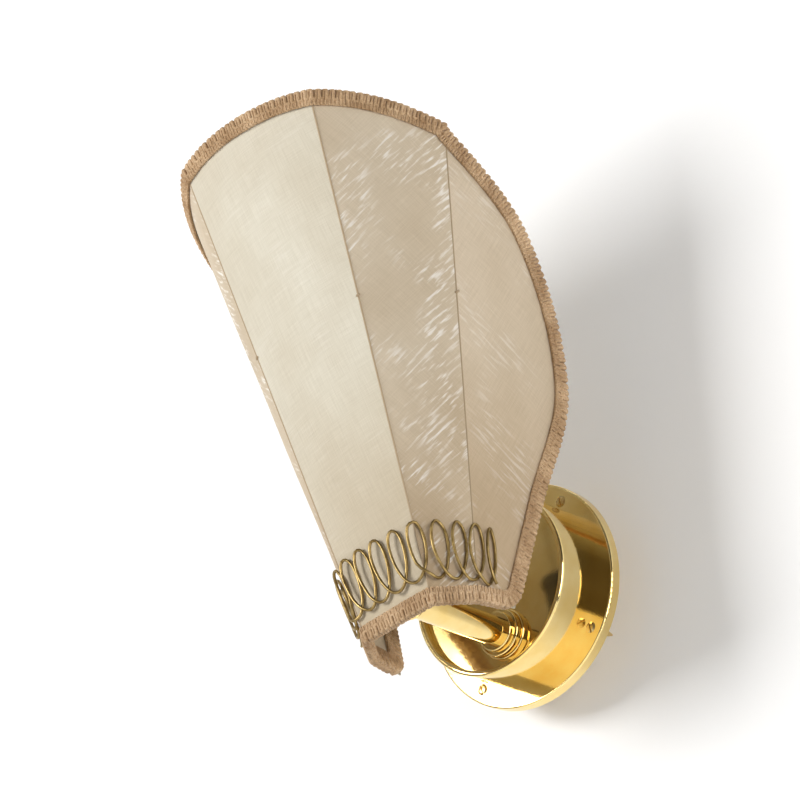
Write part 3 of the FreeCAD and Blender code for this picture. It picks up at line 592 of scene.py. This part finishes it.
# Noise in the cloth: how many spots in a metre across the panel, and up it
WARP = (1500, 55, 1)
WEFT = (60, 1500, 1)
MOTTLE = (14, 9, 1)
SLUB = (70, 520, 1)
SLUB_PATCH = (26, 20, 1)
PATCH_TURN = 0.3
# Painted shade: the next two darken the cloth towards its lower edge, which is less lit
PAINTED_SHADE_HEIGHTS = (-0.04, 0.10)    # the cloth is darker from the first down
PAINTED_SHADE_COLOUR = (0.82, 0.74, 0.64)
SLUB_COLOUR = (0.90, 0.86, 0.80)
THREAD_BUMP = (0.35, 0.0003)     # strength and depth

# Each cloth: lighter and darker colour, the grain's angle, and how strong its pale slubs are
CLOTHS = {
    "cloth_front": ((0.77, 0.73, 0.62), (0.69, 0.63, 0.51), 0.12, 0.12),
    # The next and side cloths are darker, warmer copies of the front's: painted shade on the
    # panels turned from the key light
    "cloth_next_shaded": ((0.74, 0.64, 0.50), (0.62, 0.51, 0.37), 0.65, 0.85),
    "cloth_side_shaded": ((0.72, 0.61, 0.47), (0.63, 0.52, 0.38), -0.6, 0.30),
    # The seam's cloth is darker: painted shadow of the crease along each rib
    "cloth_seam_shaded": ((0.62, 0.52, 0.39), (0.52, 0.42, 0.30), 0.0, 0.0),
    "cloth_lining": ((0.78, 0.74, 0.66), (0.72, 0.68, 0.60), 0.0, 0.0),
}

# Each slot's finish: material, darker and lighter colour, roughness, how much rougher its marks
# are, how many marks in a metre, and how metallic it is
FINISHES = {
    "brass": ("polished_brass", (0.87, 0.63, 0.23), (0.94, 0.75, 0.36), 0.07, 0.3, 45, 1.0),
    "screws": ("brass_screws", (0.66, 0.46, 0.18), (0.82, 0.62, 0.28), 0.2, 0.5, 300, 1.0),
    "aged_brass": ("aged_brass", (0.20, 0.13, 0.045), (0.42, 0.30, 0.12), 0.32, 0.5, 260, 1.0),
    "hardware": ("zinc_plate", (0.52, 0.51, 0.47), (0.68, 0.66, 0.61), 0.28, 0.5, 200, 1.0),
    "holder": ("dark_plastic", (0.045, 0.04, 0.037), (0.075, 0.07, 0.065), 0.38, 0.3, 90, 0.0),
    "insulator": ("pale_plastic", (0.70, 0.66, 0.56), (0.80, 0.76, 0.66), 0.42, 0.3, 90, 0.0),
    "frame_wire": ("wire", (0.36, 0.31, 0.22), (0.50, 0.44, 0.33), 0.38, 0.5, 220, 1.0),
}
FINER_MARKS = 22       # fine marks to each broad one


def new_material(name):
    material = bpy.data.materials.new(name)
    material.use_nodes = True
    return material, material.node_tree, material.node_tree.nodes["Principled BSDF"]


def coordinates(tree, output):
    return tree.nodes.new("ShaderNodeTexCoord").outputs[output]


def noise(tree, vector, scale, detail=3.0, rough=0.5):
    node = tree.nodes.new("ShaderNodeTexNoise")
    node.inputs["Scale"].default_value = scale
    node.inputs["Detail"].default_value = detail
    node.inputs["Roughness"].default_value = rough
    tree.links.new(vector, node.inputs["Vector"])
    return node.outputs["Fac"]


def stretched_noise(tree, vector, scale, turn=0.0, detail=2.0):
    """Noise with its own scale in each direction, turned by an angle."""
    node = tree.nodes.new("ShaderNodeMapping")
    node.vector_type = "TEXTURE"
    node.inputs["Scale"].default_value = [1 / size for size in scale]
    node.inputs["Rotation"].default_value = (0, 0, turn)
    tree.links.new(vector, node.inputs["Vector"])
    return noise(tree, node.outputs["Vector"], 1.0, detail)


def ramp(tree, factor, *stops):
    node = tree.nodes.new("ShaderNodeValToRGB")
    tree.links.new(factor, node.inputs["Fac"])
    for element, (place, colour) in zip(node.color_ramp.elements, stops):
        element.position = place
        element.color = (*colour, 1)
    return node.outputs["Color"]


def map_range(tree, value, from_range=(0.0, 1.0), to_range=(0.0, 1.0)):
    node = tree.nodes.new("ShaderNodeMapRange")
    node.inputs["From Min"].default_value, node.inputs["From Max"].default_value = from_range
    node.inputs["To Min"].default_value, node.inputs["To Max"].default_value = to_range
    tree.links.new(value, node.inputs["Value"])
    return node.outputs["Result"]


def blend(tree, factor, a, b, mode="MIX"):
    node = tree.nodes.new("ShaderNodeMix")
    node.data_type = "RGBA"
    node.blend_type = mode
    for value, socket in ((factor, node.inputs[0]), (a, node.inputs[6]), (b, node.inputs[7])):
        if isinstance(value, float):
            socket.default_value = value
        elif isinstance(value, tuple):
            socket.default_value = (*value, 1)
        else:
            tree.links.new(value, socket)
    return node.outputs[2]


def multiply(tree, a, b):
    return blend(tree, 1.0, a, b, "MULTIPLY")


def bump(tree, height, strength, distance, shader, before=None):
    node = tree.nodes.new("ShaderNodeBump")
    node.inputs["Strength"].default_value = strength
    node.inputs["Distance"].default_value = distance
    tree.links.new(height, node.inputs["Height"])
    if before is not None:
        tree.links.new(before, node.inputs["Normal"])
    tree.links.new(node.outputs["Normal"], shader.inputs["Normal"])
    return node.outputs["Normal"]


def cloth_material(name):
    """Slubbed plain weave."""
    light, dark, turn, streak = CLOTHS[name]
    material, tree, shader = new_material(name)
    uv = coordinates(tree, "UV")
    warp = stretched_noise(tree, uv, WARP, turn)
    weft = stretched_noise(tree, uv, WEFT, turn)
    mottle = stretched_noise(tree, uv, MOTTLE, detail=3.0)
    slub = stretched_noise(tree, uv, SLUB, turn)
    patch = stretched_noise(tree, uv, SLUB_PATCH, PATCH_TURN)
    colour = ramp(tree, mottle, (0.36, dark), (0.64, light))
    colour = multiply(tree, colour, ramp(tree, warp, (0.25, (0.90, 0.89, 0.87)), (0.75, WHITE)))
    colour = multiply(tree, colour, ramp(tree, weft, (0.25, (0.91, 0.90, 0.88)), (0.75, WHITE)))
    split = tree.nodes.new("ShaderNodeSeparateXYZ")
    tree.links.new(uv, split.inputs["Vector"])
    # painted shade: the cloth darkens towards its lower edge
    height = map_range(tree, split.outputs["Y"], PAINTED_SHADE_HEIGHTS)
    colour = multiply(tree, colour, ramp(tree, height, (0.0, PAINTED_SHADE_COLOUR), (1.0, WHITE)))
    pale = ramp(tree, slub, (0.52, BLACK), (0.66, WHITE))
    where = ramp(tree, patch, (0.46, BLACK), (0.60, (streak,) * 3))
    colour = blend(tree, multiply(tree, pale, where), colour, SLUB_COLOUR)
    tree.links.new(colour, shader.inputs["Base Color"])
    shader.inputs["Roughness"].default_value = 0.9
    shader.inputs["Specular IOR Level"].default_value = 0.15
    shader.inputs["Sheen Weight"].default_value = 0.15
    shader.inputs["Sheen Roughness"].default_value = 0.5
    first = bump(tree, warp, *THREAD_BUMP, shader)
    bump(tree, weft, *THREAD_BUMP, shader, first)
    return material


def braid_material(name):
    material, tree, shader = new_material(name)
    place = coordinates(tree, "Object")
    fine = noise(tree, place, 900, rough=0.7)
    broad = noise(tree, place, 60)
    colour = ramp(tree, broad, (0.30, (0.46, 0.29, 0.15)), (0.72, (0.83, 0.62, 0.40)))
    fibre = ramp(tree, fine, (0.30, (0.66, 0.58, 0.50)), (0.68, WHITE))
    tree.links.new(multiply(tree, colour, fibre), shader.inputs["Base Color"])
    shader.inputs["Roughness"].default_value = 0.85
    shader.inputs["Specular IOR Level"].default_value = 0.2
    shader.inputs["Sheen Weight"].default_value = 0.2
    bump(tree, fine, 0.5, 0.0004, shader)
    return material


def metal_material(name, low, high, rough, wear, scale, metallic):
    """Metal or plastic whose colour and gloss vary a little with handling marks."""
    material, tree, shader = new_material(name)
    place = coordinates(tree, "Object")
    broad = noise(tree, place, scale, 4.0, 0.55)
    fine = noise(tree, place, scale * FINER_MARKS, 2.0, 0.6)
    tree.links.new(ramp(tree, broad, (0.30, low), (0.70, high)), shader.inputs["Base Color"])
    gloss = map_range(tree, fine, to_range=(rough, rough * (1 + wear)))
    tree.links.new(gloss, shader.inputs["Roughness"])
    shader.inputs["Metallic"].default_value = metallic
    bump(tree, fine, 0.06, 0.0002, shader)
    return material


finishes = {slot: metal_material(*finish) for slot, finish in FINISHES.items()}
slot_of = {part["node"]: part["material_slot"] for part in frame["record"]["subparts"]}
for node, piece in frame["nodes"].items():
    if slot_of[node] in finishes:
        for entry in piece.material_slots:
            entry.material = finishes[slot_of[node]]

# ---------------------------------------------------------------- the soft pieces

looks = {name: cloth_material(name) for name in CLOTHS}
# painted shade: the next and side panels take the darker copies of the front's cloth
shade, shade_area = cloth("shade_cloth", 0.0, CLOTH,
                          [looks["cloth_front"], looks["cloth_next_shaded"], looks["cloth_side_shaded"]])
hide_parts("shade_fabric")
lining, lining_area = cloth("shade_lining", LINING_IN, CLOTH * LINING_THINNER,
                            [looks["cloth_lining"]])

half_line = outline()
whole_line = half_line + [(-place, height) for place, height in half_line[::-1]]
corner_place = half_line[0][0]
bottom_line = [(corner_place * (1 - i / BOTTOM_HALF), LOW) for i in range(2 * BOTTOM_HALF + 1)]
braid_look = braid_material("gimp_braid")
edge = braid("edge_gimp", whole_line, "edge_braid", braid_look)
bottom = braid("bottom_gimp", bottom_line, "bottom_braid", braid_look)
wire_loops("wire_loops", finishes["aged_brass"])
# the seams and stitches take the darker seam cloth, a painted shadow along each rib's crease
seams = rib_seams("rib_seams", looks["cloth_seam_shaded"])
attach(seams, "shade")


# ---------------------------------------------------------------- room, lamps and camera

def mixed(tree, factor, first, second):
    node = tree.nodes.new("ShaderNodeMixShader")
    for i, output in enumerate((factor, first, second)):
        tree.links.new(output, node.inputs[i])
    return node.outputs["Shader"]


def backdrop(name, corners, colour, glow_level, see_through):
    """A plane that looks a little brighter than it lights. see_through clears its back."""
    material, tree, shader = new_material(name + "_paint")
    nodes, links = tree.nodes, tree.links
    shader.inputs["Base Color"].default_value = (*colour, 1)
    shader.inputs["Roughness"].default_value = 0.9
    shader.inputs["Specular IOR Level"].default_value = 0.0
    glow = nodes.new("ShaderNodeEmission")
    glow.inputs["Color"].default_value = (*WHITE, 1)
    glow.inputs["Strength"].default_value = glow_level
    lit = nodes.new("ShaderNodeAddShader")
    links.new(shader.outputs["BSDF"], lit.inputs[0])
    links.new(glow.outputs["Emission"], lit.inputs[1])
    path = nodes.new("ShaderNodeLightPath")
    direct = nodes.new("ShaderNodeMath")
    direct.operation = "MAXIMUM"
    links.new(path.outputs["Is Camera Ray"], direct.inputs[0])
    links.new(path.outputs["Is Glossy Ray"], direct.inputs[1])
    seen = mixed(tree, direct.outputs["Value"], shader.outputs["BSDF"], lit.outputs["Shader"])
    if see_through:
        clear = nodes.new("ShaderNodeBsdfTransparent").outputs["BSDF"]
        behind = nodes.new("ShaderNodeNewGeometry").outputs["Backfacing"]
        seen = mixed(tree, behind, seen, clear)
    links.new(seen, nodes["Material Output"].inputs["Surface"])
    piece = add_mesh(name, corners, [(0, 1, 2, 3)], material, smooth=False)


def lamp(name, way, size, power, colour):
    data = bpy.data.lights.new(name, "AREA")
    data.shape = "SQUARE"
    data.size = size
    data.energy = power
    data.color = colour
    piece = bpy.data.objects.new(name, data)
    bpy.context.collection.objects.link(piece)
    way = V(way).normalized()
    piece.location = LAMPS_AIM + way * LAMP_DISTANCE
    piece.rotation_euler = way.to_track_quat("Z", "Y").to_euler()


def room_light():
    """A world that is bright on the light's left and dim on its right."""
    world = bpy.data.worlds.new("room")
    world.use_nodes = True
    tree = world.node_tree
    way = tree.nodes.new("ShaderNodeSeparateXYZ")
    tree.links.new(coordinates(tree, "Generated"), way.inputs["Vector"])
    sky = ramp(tree, way.outputs["X"], (0.05, (1.25, 1.25, 1.24)), (0.55, (0.28, 0.26, 0.24)))
    background = tree.nodes["Background"]
    background.inputs["Strength"].default_value = 0.30
    tree.links.new(sky, background.inputs["Color"])
    bpy.context.scene.world = world


def photo_camera():
    """Camera with the photograph's direction, roll and framing."""
    back = V((math.sin(AZIMUTH) * math.cos(ELEVATION), -math.cos(AZIMUTH) * math.cos(ELEVATION),
              math.sin(ELEVATION)))
    level = V((0, 0, 1)).cross(back).normalized()
    rise = back.cross(level)
    right = level * math.cos(ROLL) + rise * math.sin(ROLL)
    up = rise * math.cos(ROLL) - level * math.sin(ROLL)
    across = (ORIGIN_IN_PICTURE[0] - PICTURE / 2) / PIXELS_PER_METRE
    above = (PICTURE / 2 - ORIGIN_IN_PICTURE[1]) / PIXELS_PER_METRE
    place = back * DISTANCE - right * across - up * above
    data = bpy.data.cameras.new("photo_camera")
    data.sensor_width = SENSOR
    data.lens = PIXELS_PER_METRE * DISTANCE * SENSOR / PICTURE
    data.clip_end = CLIP_END
    camera = bpy.data.objects.new("photo_camera", data)
    bpy.context.collection.objects.link(camera)
    rows = [(right[i], up[i], back[i], place[i]) for i in range(3)]
    camera.matrix_world = Matrix(rows + [(0, 0, 0, 1)])
    bpy.context.scene.camera = camera


backdrop("wall", [(-REACH, WALL_Y, FLOOR_Z), (REACH, WALL_Y, FLOOR_Z),
                  (REACH, WALL_Y, REACH), (-REACH, WALL_Y, REACH)],
         (0.92, 0.92, 0.92), 0.10, True)
backdrop("floor", [(-REACH, -2 * REACH, FLOOR_Z), (REACH, -2 * REACH, FLOOR_Z),
                   (REACH, REACH, FLOOR_Z), (-REACH, REACH, FLOOR_Z)],
         (0.85, 0.84, 0.82), 0.75, False)
lamp("key", (-0.53, -0.82, 0.22), 1.0, 58, WHITE)
lamp("fill", (0.93, -0.36, -0.20), 1.5, 34, (1.0, 0.98, 0.95))
room_light()
bpy.context.scene.view_settings.view_transform = "Standard"
photo_camera()
